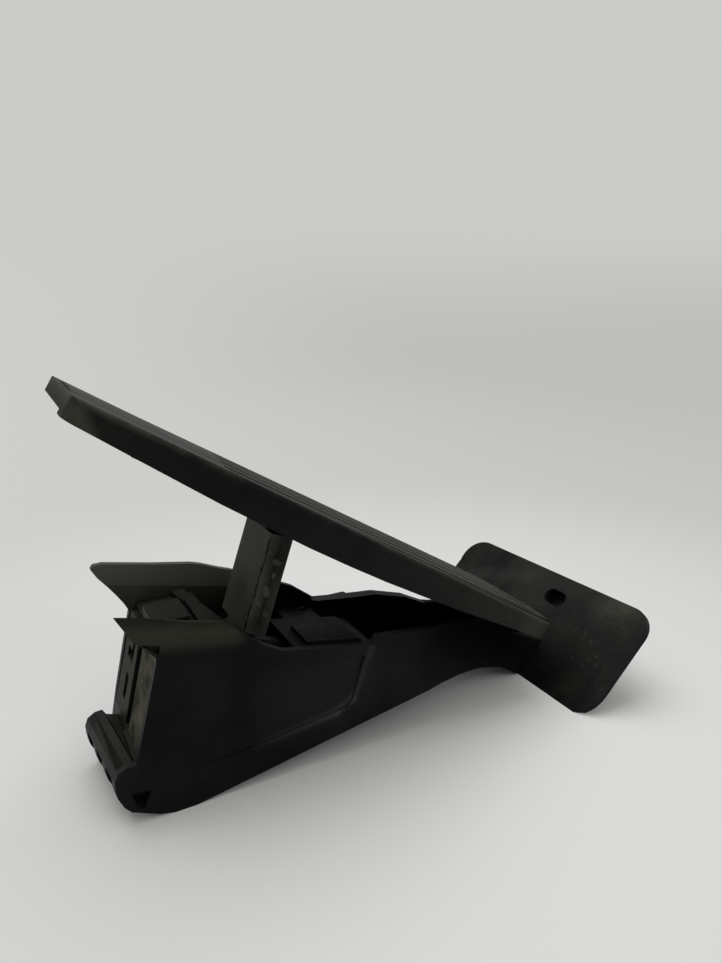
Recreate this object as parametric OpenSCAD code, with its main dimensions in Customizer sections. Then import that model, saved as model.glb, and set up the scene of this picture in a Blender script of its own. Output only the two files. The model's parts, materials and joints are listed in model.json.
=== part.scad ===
// Floor hinged accelerator pedal. The bracket rests on its foot and on the lower edge of its heel plate.
// X runs along the pedal towards the heel plate, Y across it, Z up from the surface that it rests on.

/* [Pad] */
// Length of the pad along its slope
pad_l = 229.8; // [210:0.1:245]
// Width of the pad
pad_w = 64; // [61:0.5:72]
// Slope of the pad at rest, in degrees
pad_angle = 32.2; // [30:0.1:34]
// Thickness of the pad's top plate
pad_top = 3; // [2.5:0.1:3.5]
// Thickness of the pad's skirt
pad_skirt = 2.6; // [2:0.1:3]
// Depth of the skirt at the middle of the pad
pad_depth = 13.1; // [11:0.1:15]
// Depth of the skirt at the pad's two ends
pad_end_depth = 7.6; // [6:0.1:9]
// Distance of the hinge pin from the lower end, along the slope
hinge_back = 12; // [10:0.5:16]
// Depth of the hinge pin under the top face
hinge_drop = 15; // [14:0.5:17]
// Height of the crowned tread at the lower end
crown_h = 3.6; // [2.6:0.1:4.4]
// Radius of the tread's crown across the pad
crown_r = 160; // [140:1:200]
// Distance between two grooves of the tread
groove_pitch = 5.4; // [4.4:0.1:6.4]
// Width of one groove of the tread
groove_w = 1.6; // [1:0.1:2]
// Depth of the grooves
groove_d = 1; // [0.5:0.1:1.2]

/* [Bracket] */
// Outer width of the bracket's box
body_w = 56; // [54:0.5:60]
// Wall thickness
wall = 3; // [2.5:0.1:3.5]
// Height of the hinge pin above the resting surface
hinge_z = 27.6; // [26:0.1:29]
// Distance of the hinge pin from the bracket's left foot
hinge_x = 167; // [162:0.5:172]
// Slope of the underside, in degrees
belly_angle = 9.8; // [9:0.1:10.5]
// Height of the side wall at its left end
end_h = 63; // [60:0.5:66]
// Height of the horn at the left end of the rim
horn_h = 81; // [79:0.5:84]
// Height of the side wall beside the front cover
mid_h = 53.8; // [52:0.2:56]
// Height of the neck at its left end
neck_h = 49.7; // [48:0.2:52]
// Lean of the near rim, in degrees
rim_lean = 52; // [46:1:58]
// Depth of the sunken panels in the side walls
panel_d = 1.1; // [0.6:0.1:1.4]

/* [Heel plate] */
// Length of the heel plate along its slope
heel_l = 56.2; // [52:0.2:62]
// Reach of the heel plate to the near side
heel_near = 57.5; // [52:0.5:64]
// Reach of the heel plate to the far side
heel_far = 74; // [66:0.5:80]
// Thickness of the heel plate
heel_t = 3; // [2.5:0.1:4]
// Slope of the heel plate, in degrees
heel_angle = 45; // [42:0.5:48]
// Distance of the heel plate's foot from the bracket's left foot
heel_x = 182; // [180:0.5:188]
// Length of the fixing slot
slot_l = 13.6; // [11:0.2:18]
// Width of the fixing slot
slot_w = 8; // [7:0.1:9]
// Distance of the fixing slot from the plate's foot, along the slope
slot_up = 43; // [39:0.2:44]

/* [Lever and strut] */
// Diameter of the lever's shaft
shaft_d = 6; // [5:0.5:7]
// Diameter of the strut's lower pin
foot_pin_d = 4; // [3.5:0.5:5]
// Diameter of the strut's upper pin
head_pin_d = 4; // [3.5:0.5:5]
// Diameter of the pad's hinge pin
hinge_pin_d = 4; // [3.5:0.5:5]
// Width of the strut across the pedal
strut_w = 28; // [24:0.5:30]
// Thickness of the strut
strut_t = 9.4; // [8:0.2:10.4]
// Radial clearance of a turning pin
run_gap = 0.05; // [0.03:0.01:0.08]
// Play of the strut's head along its slot, to each side
head_play = 1.3; // [1.2:0.1:1.6]
// Diameter of the outer return spring
spring_d = 12.4; // [11.6:0.1:12.8]
// Wire of the outer return spring
spring_wire = 1.5; // [1.2:0.1:1.7]

/* [Hidden] */
$fn = 48;

// Pivots at rest as [x, z]
hinge = [hinge_x, hinge_z];
shaft = [96, 30];
foot = [45, 48];
head = [63.5, 99.5];

// Directions along and square to the pad
pad_along = [cos(pad_angle), -sin(pad_angle)];
pad_up = [sin(pad_angle), cos(pad_angle)];
pad_low_end = hinge + hinge_back * pad_along + hinge_drop * pad_up;
pad_high_end = pad_low_end - pad_l * pad_along;
function in_pad(p) = [(p - pad_high_end) * pad_along, (p - pad_high_end) * pad_up];

// The heel plate's directions
heel_run = [cos(heel_angle), sin(heel_angle)];
heel_back = [sin(heel_angle), -cos(heel_angle)];
heel_top = [heel_x, 0] + heel_l * heel_run + heel_t * heel_back;

// The part's origin is under the middle of its box
lip_left = -10.6;
lip_peak = 19.5;
lip_run = 47;
lip_yaw = 5;
lip_dip = 3.4;
left_end = lip_left * cos(lip_yaw) - (lip_run * cos(lip_dip) + lip_peak * sin(lip_dip)) * sin(lip_yaw);
centre_x = (left_end + heel_top[0]) / 2;
centre_y = (heel_far - heel_near) / 2;

foot_end = 17;
arch_x = 146;
neck_start = 120;
neck_half = 12;
neck_x = 95;
floor_t = 3;
half_w = body_w / 2;
inner_w = half_w - wall;
rim_t = 7;
fold_z = (end_h + horn_h) / 2;
rim_slope = atan((fold_z - end_h - 1.1) / 34);
cavity_top = 120;
ledge = 2;
blind_t = 1.2;
clip_t = 1;
clip_groove = 1.2;
boss_r = 7;
slot_y = -2.7;
cup_h = 6;
cup_wall = 2;
pin_wall = 3;
hub_r = 9;
hub_half = 12;
cheek_in = 6.5;
cheek_t = 4;
cheek_out = cheek_in + cheek_t;
arm_half = 5.5;
ear_in = 8;
ear_t = 3.4;
ear_out = ear_in + ear_t;
lug_in = 6.6;
lug_t = 3.4;
lug_out = lug_in + lug_t;
end_skirt = 6;
side_gap = 0.3;
seat_x = 62;
seat_t = 1.6;
magnet_t = 2;
holder_t = 3;
bush_wall = 1.2;
rib_t = 2;
rib_depth = 7;
crown_low = 0.85;
crown_tilt = atan((crown_h - crown_low) / pad_l);
tread_start = 56;
foot_low = 14.6;
deck_x = 10.8;
deck_l = 23;
deck_t = 2;
strap_w = 5;
strap_t = 3;
strap_dip = -5.4;
strap_yaw = 14;
front_cover_x = 60;
sensor_x = 78;
sensor_l = 38;
sensor_z = 17;
sensor_h = 21;
sensor_d = 14;
seal_t = 1;
case_t = 2;
screw_d = 3;
screw_points = [[sensor_x + 4, sensor_z + sensor_h + 4], [sensor_x + sensor_l + 4, sensor_z + 4],
    [sensor_x + sensor_l + 4, sensor_z + sensor_h - 4]];
board_y = half_w + seal_t + 4;
pin_y = board_y + 4;
socket_l = 18;
pin_w = 0.8;

function belly(x) = (x - foot_end) * tan(belly_angle);
function deck(x) = mid_h - (x - 54.5) * 0.196;
// Height on the rim, from 0 at the side wall's top to 1 at the horn's
function rim(t) = end_h + t * (horn_h - end_h);
spring_low = belly(seat_x + 8) + floor_t + 0.6;
spring_z = spring_low + seat_t;
web_z = 38;
shoe_z = belly(shaft[0] + 8) + floor_t + 0.4;
buffer_z = belly(foot[0] + 4) + floor_t + 0.2;

module place() {
    translate([-centre_x, -centre_y, 0]) children();
}

// Extrudes an outline drawn in X and Z from y0 to y1
module across(y0, y1) {
    translate([0, y1, 0]) rotate([90, 0, 0]) linear_extrude(y1 - y0) children();
}

// A straight round bar along Y through a point given as [x, z]
module bar(p, d, y0, y1) {
    translate([p[0], y1, p[1]]) rotate([90, 0, 0]) cylinder(d = d, h = y1 - y0);
}

module rounded(l, w, r) {
    translate([r, 0]) square([l - 2 * r, w]);
    translate([0, r]) square([l, w - 2 * r]);
    for (x = [r, l - r], y = [r, w - r]) translate([x, y]) circle(r);
}

// A slab between two round ends, drawn in X and Z
module link(p, q, rp, rq, half) {
    d = (q - p) / norm(q - p);
    n = [-d[1], d[0]];
    translate(p) circle(rp);
    translate(q) circle(rq);
    polygon([p + n * half, q + n * half, q - n * half, p - n * half]);
}

// Underside of the neck where it arches, from the arch's middle
arch = [[32.5, 2], [27, 6.2], [21.5, 9.7], [14, 12.8], [7, 15.1], [0, 16.5], [-8, 17.6], [-18, 18.1]];
arch_end = arch_x - 26;

// Side outline of the box and the neck. The top is given by the wall that uses it.
function under() = concat([[heel_x + 1, 0]], [for (p = arch) [arch_x + p[0], p[1]]],
    [[arch_end, belly(arch_end)], [foot_end, 0], [9, 0], [4.2, 1.6], [-1, 5], [-3.3, 12.4]]);
function hinge_top() = [[hinge_x + 8, 25], [heel_x + 15, 14]];
function near_neck() = concat([[neck_x, neck_h], [neck_x + 10, neck_h - 1.2], [neck_start + 5, neck_h - 3.4],
    [hinge_x - 17, 41.5], [hinge_x + 1, 33]], hinge_top());
function far_neck() = concat([[neck_x + 7.5, neck_h - 4.9], [neck_start - 4, neck_h - 6.4],
    [neck_start + 2, neck_h - 6.9], [neck_start + 16, neck_h - 10.1], [neck_start + 26, neck_h - 14.9],
    [hinge_x + 1, 31]], hinge_top());
function near_horn() = [[0.1, fold_z], [-4.2, rim(0.87)], [6.3, rim(0.72)], [20.8, rim(0.48)],
    [34, rim(0.3)], [40.2, rim(0.044)]];
function far_horn() = [[5.9, rim(0.033)], [3.3, rim(0.26)], [0.4, rim(0.49)], [-2.9, rim(0.72)],
    [-5.2, rim(0.94)], [-4.2, rim(1.02)], [-0.7, rim(1.03)], [18.6, rim(0.81)], [35.1, rim(0.65)],
    [39.3, rim(0.58)], [47.8, rim(0.38)], [52.2, rim(0.294)]];

// Band along the top of the near wall, between two heights above or below it
module deck_band(x0, x1, low, high) {
    polygon([[x0, deck(x0) + low], [x1, deck(x1) + low], [x1, deck(x1) + high], [x0, deck(x0) + high]]);
}

module near_outline() {
    polygon(concat(under(), [[-2.6, 24.3], [7.4, end_h - 2], [7.6, end_h + 0.6]], near_horn(),
        [[47.5, mid_h + 4], [54.5, mid_h], [92.2, deck(92.2)]], near_neck()));
}

module far_outline() {
    polygon(concat(under(), [[-0.6, 24.9], [4.6, 45.8], [7.9, end_h - 3.5]], far_horn(),
        [[79.9, mid_h + 1], [90.6, mid_h - 7.4]], far_neck()));
}

// Plan of the box and the tapering neck, drawn smaller by an inset
module plan(inset) {
    w = half_w - inset;
    n = neck_half - inset;
    polygon([[-20, -w], [neck_start, -w], [heel_x + 2, -n], [heel_x + 30, -n], [heel_x + 30, n],
        [heel_x + 2, n], [neck_start, w], [-20, w]]);
}

module cavity_outline() {
    polygon(concat([[8, floor_t + 1.5], [foot_end, floor_t], [arch_end, belly(arch_end) + floor_t]],
        [for (i = [7:-1:3]) [arch_x + arch[i][0], arch[i][1] + floor_t]],
        [[arch_x + 40, arch[3][1] + floor_t], [heel_x + 40, cavity_top], [-30, cavity_top], [-30, 22],
            [2, 22], [3, 8]]));
}

module heel_frame() {
    translate([heel_x, 0, 0]) rotate([0, -heel_angle, 0]) children();
}

// Plate, drawn in its own plane with x up the slope
module heel_plate() {
    // Foot on the near and the far side, then the top corner on the near and the far side
    low = [17, 9];
    high = [11, 19];
    top = heel_t + heel_l;
    intersection() {
        heel_frame() translate([-heel_t, 0, -heel_t]) linear_extrude(heel_t) {
            translate([0, -heel_near + low[0]])
                square([top - high[1], heel_near + heel_far - low[0] - low[1]]);
            translate([low[0], -heel_near]) square([top - low[0] - high[0], heel_near]);
            translate([low[1], 0]) square([top - low[1] - high[1], heel_far]);
            translate([0, -heel_near + high[0]]) square([top, heel_near + heel_far - high[0] - high[1]]);
            translate([low[0], -heel_near + low[0]]) circle(low[0]);
            translate([low[1], heel_far - low[1]]) circle(low[1]);
            translate([top - high[0], -heel_near + high[0]]) circle(high[0]);
            translate([top - high[1], heel_far - high[1]]) circle(high[1]);
        }
        translate([0, -100, 0]) cube([300, 200, 100]);
    }
}

module slot_shape(grow) {
    for (s = [-1, 1]) translate([0, s * (slot_l - slot_w) / 2]) circle(slot_w / 2 + grow);
    translate([-slot_w / 2 - grow, -(slot_l - slot_w) / 2]) square([slot_w + 2 * grow, slot_l - slot_w]);
}

// Cup behind the fixing slot, closed but for its screw hole
module slot_cup() {
    heel_frame() translate([slot_up, slot_y, -heel_t - cup_h])
        linear_extrude(cup_h + 0.5) slot_shape(cup_wall);
}

module slot_cut() {
    heel_frame() translate([slot_up, slot_y, -heel_t - cup_h]) {
        translate([0, 0, 1.5]) linear_extrude(cup_h + 30) slot_shape(0);
        translate([0, -3, -1]) cylinder(d = 4.2, h = 4);
    }
}

// Sunken panel that both side walls carry
module panel() {
    polygon([[14, 16], [41.7, 16.9], [74.9, 20.8], [80.5, 21.6], [83.2, 24.6], [89, 42.5], [54, 49.6],
        [46, 53], [24, 62], [12, 60], [6, 30]]);
}

module bracket() {
    color([0.13, 0.13, 0.14]) place() difference() {
        union() {
            difference() {
                union() {
                    intersection() {
                        across(-half_w, 0) near_outline();
                        linear_extrude(cavity_top) plan(0);
                    }
                    intersection() {
                        across(0, half_w) far_outline();
                        linear_extrude(cavity_top) plan(0);
                    }
                }
                intersection() {
                    across(-half_w, half_w) cavity_outline();
                    linear_extrude(cavity_top + 1) plan(wall);
                }
            }
            near_rim();
            lip();
            lug();
            far_flange();
            ledges();
            bosses();
            platforms();
            heel_plate();
            slot_cup();
            heel_ribs();
        }
        rim_cut();
        panel_cuts();
        lip_pockets();
        pin_holes();
        slot_cut();
    }
}

// The near rim is thick enough to take its lean
module near_rim() {
    across(-half_w, -half_w + rim_t) polygon(concat([[4, rim(0.33)]], near_horn(),
        [[44, end_h - 3], [40, end_h - 0.4], [34, end_h + 0.6]]));
}

// Lug at the near end of the lip, in line with the side wall
module lug() {
    across(-half_w, -half_w + wall) polygon([[9, 0], [3.5, 1.4], [-5.8, 5.8], [-8.3, 8.7], [-10.1, 12.8],
        [lip_left, 16.2], [lip_left, lip_peak], [-9.4, 22.4], [-6.4, 24.1], [-2.6, 24.3], [6, 24], [12, 10],
        [17, 0]]);
}

module lip_frame() {
    translate([0, -half_w, 0]) rotate([-lip_dip, 0, lip_yaw]) children();
}

// Lip under the end covers, which drops and swings out towards the far side
module lip() {
    lip_frame() across(0, lip_run) polygon([[3, 5], [-5.8, 5.8], [-8.3, 8.7], [-10.1, 12.8],
        [lip_left, 16.2], [lip_left, lip_peak], [-9.4, 22.4], [-6.4, 24.1], [-3.4, 24.2], [-2, 21.8],
        [2.5, 20]]);
}

// Narrow flange along the top of the far wall of the neck
module far_flange() {
    intersection() {
        across(0, half_w) polygon(concat([[88, mid_h - 9], [88, mid_h - 6.4], [90.6, mid_h - 7.4]],
            [for (i = [0:4]) far_neck()[i]], [for (i = [4:-1:0]) far_neck()[i] - [1, 2.2]]));
        linear_extrude(cavity_top) difference() {
            plan(0.5);
            plan(2 * wall);
        }
    }
}

module rim_cut() {
    translate([0, -half_w, fold_z]) rotate([0, rim_slope, 0]) rotate([-rim_lean, 0, 0])
        translate([-20, -20, 0]) cube([70, 20, 30]);
}

// Ledges that the deck and front covers rest on
module ledges() {
    for (y = [-inner_w - 0.5, inner_w - ledge]) across(y, y + ledge + 0.5)
        translate([12, end_h - 4]) square([22, 2]);
    across(-inner_w - 0.5, -inner_w + ledge) deck_band(front_cover_x, 92, -5, -3);
    // Shelf on the far wall, beside the front cover
    across(11.5, inner_w + 0.5) deck_band(70, 87, -7, -4);
}

module bosses() {
    bar(shaft, 2 * boss_r, -inner_w - 0.5, -hub_half - side_gap);
    bar(shaft, 2 * boss_r, hub_half + holder_t + magnet_t + side_gap, inner_w + 0.5);
    // Knuckle that the pad hangs on, with the web that carries it
    bar(hinge, hinge_pin_d + 2 * pin_wall, -ear_in + side_gap, ear_in - side_gap);
    across(-ear_in + side_gap, ear_in - side_gap) polygon([hinge - [5, 0], hinge + [5, 0],
        [heel_x + 4, 8], [heel_x - 4, 8], [hinge[0] - 8, 14], [hinge[0] - 12, 19]]);
    for (p = screw_points) bar(p, 7, inner_w - 5, inner_w + 0.5);
}

module platform(x0, x1, half, top) {
    across(-half, half) polygon([[x0, belly(x0) + 1], [x1, belly(x1) + 1], [x1, top], [x0, top]]);
}

// Seats for the springs, the friction shoe and the stop buffer
module platforms() {
    platform(seat_x - 8, seat_x + 8, 9, spring_low);
    platform(shaft[0] - 8, shaft[0] + 8, 11, shoe_z);
    platform(foot[0] - 11, foot[0] + 4, 8, buffer_z);
}

// Ribs on the back of the neck that stiffen the heel plate
module heel_ribs() {
    for (s = [-1, 1]) across(s * (neck_half - wall / 2) - wall / 2, s * (neck_half - wall / 2) + wall / 2)
        polygon([[heel_x - 12, 13], [heel_x - 3, 3], [heel_x + 4, 3], [heel_x + 15, 14], [heel_x + 2, 19]]);
}

module panel_cuts() {
    across(-half_w - 1, -half_w + panel_d) panel();
    across(half_w - panel_d, half_w + 1) panel();
    // Small moulded hollows of the near wall
    across(-half_w - 1, -half_w + 2) polygon([[2.6, 69.6], [9.4, 67.6], [8.6, 64.4]]);
    across(-half_w - 1, -half_w + 4) polygon([[-5.5, 13.5], [1.5, 12.5], [-1.5, 5.8], [-4, 7]]);
}

// Pockets in the lip's outer face
module lip_pockets() {
    gap = 4;
    w = (lip_run - 4 * gap) / 3;
    lip_frame() for (i = [0:2]) translate([0, gap + i * (w + gap) + 1, 0]) across(0, w - 1)
        polygon([[-14, 19], [-9.6, 19], [-4.5, 17.5], [-3.5, 10], [-14, 6]]);
}

module pin_holes() {
    bar(shaft, shaft_d, -half_w + blind_t, half_w + 1);
    bar(hinge, hinge_pin_d + 2 * run_gap, -ear_in, ear_in);
    for (p = screw_points) bar(p, screw_d, inner_w - 4, half_w + 1);
}

// The pad's own frame: x along the slope from its upper end, z square to its top face
module pad_frame() {
    translate([pad_high_end[0], 0, pad_high_end[1]]) rotate([0, pad_angle, 0]) children();
}

function pad_belly(u) = pad_end_depth + (pad_depth - pad_end_depth) * sin(180 * u / pad_l);

module pad_side(inset) {
    polygon(concat([[inset, 0], [pad_l - inset, 0]],
        [for (i = [12:-1:0]) let (u = inset + (pad_l - 2 * inset) * i / 12) [u, -pad_belly(u)]]));
}

// The tread's crown as a large round bar along the pad, which rises towards the lower end
module crown_bar(shrink) {
    translate([0, 0, crown_low]) rotate([0, -crown_tilt, 0]) translate([-20, 0, -crown_r])
        rotate([0, 90, 0]) cylinder(r = crown_r - shrink, h = pad_l + 60, $fn = 360);
}

module crown() {
    intersection() {
        crown_bar(0);
        across(-pad_w / 2 + 3, pad_w / 2 - 3) polygon([[1.5, -1], [1.5, crown_low - 0.1], [6, crown_low + 1],
            [pad_l - 33, crown_h + 1], [pad_l - 20, crown_h - 0.4], [pad_l - 8, crown_h - 1],
            [pad_l - 1.5, crown_h - 2], [pad_l - 1.5, -1]]);
    }
}

module tread_grooves() {
    n = floor((pad_w / 2 - 5) / groove_pitch);
    difference() {
        for (i = [-n:n]) translate([tread_start, i * groove_pitch - groove_w / 2, -groove_d])
            linear_extrude(groove_d + crown_h + 2)
                rounded(pad_l - tread_start - 10, groove_w, groove_w / 2 - 0.01);
        crown_bar(groove_d);
    }
}

module pad() {
    corner = 4.4;
    edge = 2.4;
    color([0.16, 0.16, 0.17]) place() pad_frame() difference() {
        union() {
            difference() {
                intersection() {
                    across(-pad_w / 2, pad_w / 2) pad_side(0);
                    translate([0, 0, -40]) linear_extrude(41) {
                        translate([0, -pad_w / 2]) rounded(pad_l, pad_w, corner);
                        translate([0, pad_w / 2 - 2 * corner]) rounded(2 * corner, 2 * corner, 1.5);
                    }
                    // Rounded long edges of the top face
                    translate([-1, 0, 0]) rotate([90, 0, 90]) linear_extrude(pad_l + 2) union() {
                        translate([-pad_w / 2, -40]) square([pad_w, 40 - edge]);
                        translate([-pad_w / 2 + edge, -40]) square([pad_w - 2 * edge, 40]);
                        for (s = [-1, 1]) translate([s * (pad_w / 2 - edge), -edge]) circle(edge);
                    }
                }
                translate([pad_skirt, -pad_w / 2 + pad_skirt, -40 - pad_top])
                    linear_extrude(40)
                        rounded(pad_l - 2 * pad_skirt, pad_w - 2 * pad_skirt, corner - pad_skirt);
            }
            crown();
            pad_ribs();
            pad_lugs();
        }
        tread_grooves();
        // The skirt of the upper end is cut back beside its near corner
        translate([-1, -pad_w / 2 + 12, -20]) cube([pad_skirt + 2, pad_w, 20 - end_skirt]);
        bar(in_pad(hinge), hinge_pin_d, -ear_out - 1, ear_out + 1);
        bar(in_pad(head), head_pin_d, -lug_out - 1, lug_out + 1);
    }
}

module pad_ribs() {
    h = in_pad(head);
    for (u = [24, 42, 60, h[0] + 13, h[0] + 36, h[0] + 58])
        translate([u, -pad_w / 2 + 1, -pad_top - rib_depth + 0.5]) cube([rib_t, pad_w - 2, rib_depth]);
    for (s = [-1, 1]) translate([24, s * 14 - rib_t / 2, -pad_top - rib_depth + 0.5])
        cube([h[0] + 34, rib_t, rib_depth]);
}

module pad_lugs() {
    g = in_pad(hinge);
    h = in_pad(head);
    er = hinge_pin_d / 2 + pin_wall;
    lr = head_pin_d / 2 + pin_wall;
    root = -pad_top + 0.5;
    for (s = [-1, 1]) {
        across(min(s * ear_in, s * ear_out), max(s * ear_in, s * ear_out)) {
            translate(g) circle(er);
            polygon([g - [er, 0], g + [er, 0], [g[0] + er, root], [g[0] - er - 8, root]]);
        }
        across(min(s * lug_in, s * lug_out), max(s * lug_in, s * lug_out)) {
            translate(h) circle(lr);
            polygon([h - [lr, 0], h + [lr, 0], [h[0] + lr + 3, root], [h[0] - lr - 3, root]]);
        }
    }
}

module hinge_pin() {
    color("silver") place() bar(hinge, hinge_pin_d, -ear_out, ear_out);
}

module head_pin() {
    color("silver") place() bar(head, head_pin_d, -lug_out, lug_out);
}

module foot_pin() {
    color("silver") place() bar(foot, foot_pin_d, -cheek_out, cheek_out);
}

// The strut's own frame: x square to it, z from the foot pin to the head pin
module strut_frame() {
    lean = atan2(head[0] - foot[0], head[1] - foot[1]);
    translate([foot[0], 0, foot[1]]) rotate([0, lean, 0]) children();
}

module strut() {
    l = norm(head - foot);
    body_low = 8.5;
    body_high = l - 5.5;
    tongue = cheek_in - side_gap;
    r = 5.4;
    color([0.30, 0.31, 0.30]) place() strut_frame() difference() {
        union() {
            translate([-strut_t / 2, -strut_w / 2, body_low]) cube([strut_t, strut_w, body_high - body_low]);
            across(-tongue, tongue) {
                circle(r);
                translate([-r + 1, 0]) square([2 * r - 2, body_low + 1]);
                translate([-r + 1, l - 9]) square([2 * r - 2, 9]);
                translate([0, l]) circle(r);
            }
        }
        // Hollows between the strut's flanges, on its right side
        for (s = [-1, 1]) translate([-strut_t / 2 + 3, s * 6.9 - 5.2, body_low + 3])
            cube([strut_t, 10.4, body_high - body_low - 6]);
        // Groove along the middle of each edge face
        for (s = [-1, 1]) translate([-0.6, s * strut_w / 2 - 0.5, body_low + 4])
            cube([1.2, 1, body_high - body_low - 8]);
        bar([0, 0], foot_pin_d + 2 * run_gap, -strut_w, strut_w);
        for (x = [-head_play, head_play]) bar([x, l], head_pin_d + 0.6, -strut_w, strut_w);
        translate([-head_play, -strut_w, l - head_pin_d / 2 - 0.3])
            cube([2 * head_play, 2 * strut_w, head_pin_d + 0.6]);
    }
}

module lever() {
    color([0.22, 0.22, 0.23]) place() difference() {
        union() {
            bar(shaft, 2 * hub_r, -hub_half, hub_half);
            for (s = [-1, 1]) across(min(s * cheek_in, s * cheek_out), max(s * cheek_in, s * cheek_out))
                link(shaft, foot, hub_r, 6, arm_half);
            // Web between the cheeks that the springs press on
            across(-cheek_in - 0.5, cheek_in + 0.5) polygon([[seat_x - 7, web_z], [seat_x + 7, web_z],
                [seat_x + 7, web_z + 3.5], [seat_x - 7, web_z + 6]]);
        }
        bar(shaft, shaft_d + 2 * run_gap + 2 * bush_wall, -hub_half - 1, hub_half + 1);
        bar(foot, foot_pin_d, -cheek_out - 1, cheek_out + 1);
    }
}

module shaft_bushes() {
    color("tan") place() for (y = [-hub_half, 2]) difference() {
        bar(shaft, shaft_d + 2 * run_gap + 2 * bush_wall, y, y + hub_half - 2);
        bar(shaft, shaft_d + 2 * run_gap, y - 1, y + hub_half);
    }
}

module lever_shaft() {
    color("silver") place() difference() {
        bar(shaft, shaft_d, -half_w + blind_t, half_w + 1.8);
        // Groove for the clip
        difference() {
            bar(shaft, shaft_d + 1, half_w, half_w + clip_t);
            bar(shaft, shaft_d - clip_groove, half_w, half_w + clip_t);
        }
    }
}

module shaft_clip() {
    color("dimgray") place() difference() {
        bar(shaft, shaft_d + 4, half_w, half_w + clip_t);
        bar(shaft, shaft_d - clip_groove, half_w - 1, half_w + 2);
        translate([shaft[0] - (shaft_d - clip_groove) / 2, half_w - 1, shaft[1] - shaft_d])
            cube([shaft_d - clip_groove, 3, shaft_d]);
    }
}

// A coil spring as one closed tube along its helix, standing on z0
module coil(d, wire, z0, z1, turns) {
    sides = 8;
    steps = 18;
    n = turns * steps;
    r = (d - wire) / 2;
    h = z1 - z0 - wire;
    pts = [for (i = [0:n]) let (a = 360 * i / steps, z = z0 + wire / 2 + h * i / n)
        for (k = [0:sides - 1]) let (b = 360 * k / sides)
            [(r + wire / 2 * cos(b)) * cos(a), (r + wire / 2 * cos(b)) * sin(a), z + wire / 2 * sin(b)]];
    faces = concat([[for (k = [0:sides - 1]) k]],
        [for (i = [0:n - 1], k = [0:sides - 1])
            [i * sides + k, (i + 1) * sides + k, (i + 1) * sides + (k + 1) % sides,
                i * sides + (k + 1) % sides]],
        [[for (k = [sides - 1:-1:0]) n * sides + k]]);
    translate([seat_x, 0, 0]) polyhedron(pts, faces);
}

module outer_spring() {
    color("silver") place() coil(spring_d, spring_wire, spring_z, web_z - 1.2, 5);
}

module inner_spring() {
    color("lightgray") place() coil(spring_d - 2 * spring_wire - 1.2, 1.1, spring_z, web_z - 1.2, 6);
}

module lower_spring_seat() {
    color("white") place() translate([seat_x, 0, spring_low]) difference() {
        cylinder(d = spring_d + 2.4, h = seat_t);
        translate([0, 0, -1]) cylinder(d = 3, h = seat_t + 2);
    }
}

module upper_spring_seat() {
    color("white") place() translate([seat_x, 0, web_z - 1.2]) difference() {
        cylinder(d = spring_d + 0.2, h = 1.2);
        translate([0, 0, -1]) cylinder(d = 3, h = 4);
    }
}

module friction_shoe() {
    color("burlywood") place() difference() {
        across(-cheek_in + side_gap, cheek_in - side_gap)
            translate([shaft[0] - 7, shoe_z]) square([14, shaft[1] - 5 - shoe_z]);
        bar(shaft, 2 * hub_r + 2 * run_gap, -11, 11);
    }
}

module stop_buffer() {
    color("black") place() translate([foot[0] - 4, 0, buffer_z]) {
        cylinder(d = 12, h = 3);
        cylinder(d = 9, h = foot_low - buffer_z);
    }
}

module magnet_holder() {
    color("gray") place() difference() {
        bar(shaft, 2 * hub_r, hub_half, hub_half + holder_t);
        bar(shaft, shaft_d + 1, hub_half - 1, hub_half + holder_t + 1);
    }
}

module magnet() {
    color("dimgray") place() difference() {
        bar(shaft, 2 * hub_r - 3, hub_half + holder_t, hub_half + holder_t + magnet_t);
        bar(shaft, shaft_d + 2, hub_half, hub_half + holder_t + magnet_t + 1);
    }
}

module deck_cover() {
    z = end_h - deck_t;
    half = inner_w - side_gap;
    color([0.20, 0.21, 0.20]) place() {
        translate([deck_x, -half, z]) cube([deck_l, 2 * half, deck_t]);
        translate([deck_x, -9, z + 1.5]) cube([14, 19, 5]);
        translate([deck_x + 17, -14, z + 1.5]) cube([4, 28, 2.4]);
        // Strap that runs down across the deck to the near side
        translate([deck_x + 16.4, half - 0.4, end_h + 2.3]) rotate([-strap_dip, 0, strap_yaw])
            translate([-strap_w / 2, -46, -strap_t]) cube([strap_w, 45, strap_t]);
    }
}

module front_cover() {
    near = inner_w - side_gap;
    color([0.24, 0.26, 0.23]) place() {
        across(-near, 4) deck_band(front_cover_x, 91.5, -3, -0.6);
        across(-near + 2, -6) deck_band(front_cover_x + 6, 90, -1, 0.8);
    }
}

// Outline of the plates that close the left end, set back from the walls' edge
module end_outline() {
    polygon([[-1.2, 22], [1, 22], [11, end_h - 2.4], [8.8, end_h - 2.4]]);
}

// Window through the end plates between two heights
module end_window(y0, y1, z0, z1) {
    across(y0, y1) translate([-10, z0]) square([30, z1 - z0]);
}

module end_cover() {
    color([0.42, 0.38, 0.33]) place() across(-inner_w + side_gap, -2) end_outline();
}

module end_latch() {
    color([0.25, 0.25, 0.25]) place() difference() {
        across(4, inner_w - side_gap) end_outline();
        end_window(9, 12, end_h - 19, end_h - 5);
        end_window(9, 18, end_h - 19, end_h - 15);
        end_window(11, 15, 28, 38);
    }
}

// Sensor housing on the outside of the far wall, with its plug socket facing left
module sensor_plan() {
    translate([sensor_x, sensor_z]) rounded(sensor_l, sensor_h, 3);
    for (p = screw_points) translate(p) circle(4);
    translate([sensor_x, sensor_z + sensor_h - 4]) square([8, 8]);
    translate([sensor_x + sensor_l - 4, sensor_z + 0.5]) square([8, 7]);
    translate([sensor_x + sensor_l - 4, sensor_z + sensor_h - 7.5]) square([8, 7]);
}

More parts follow.
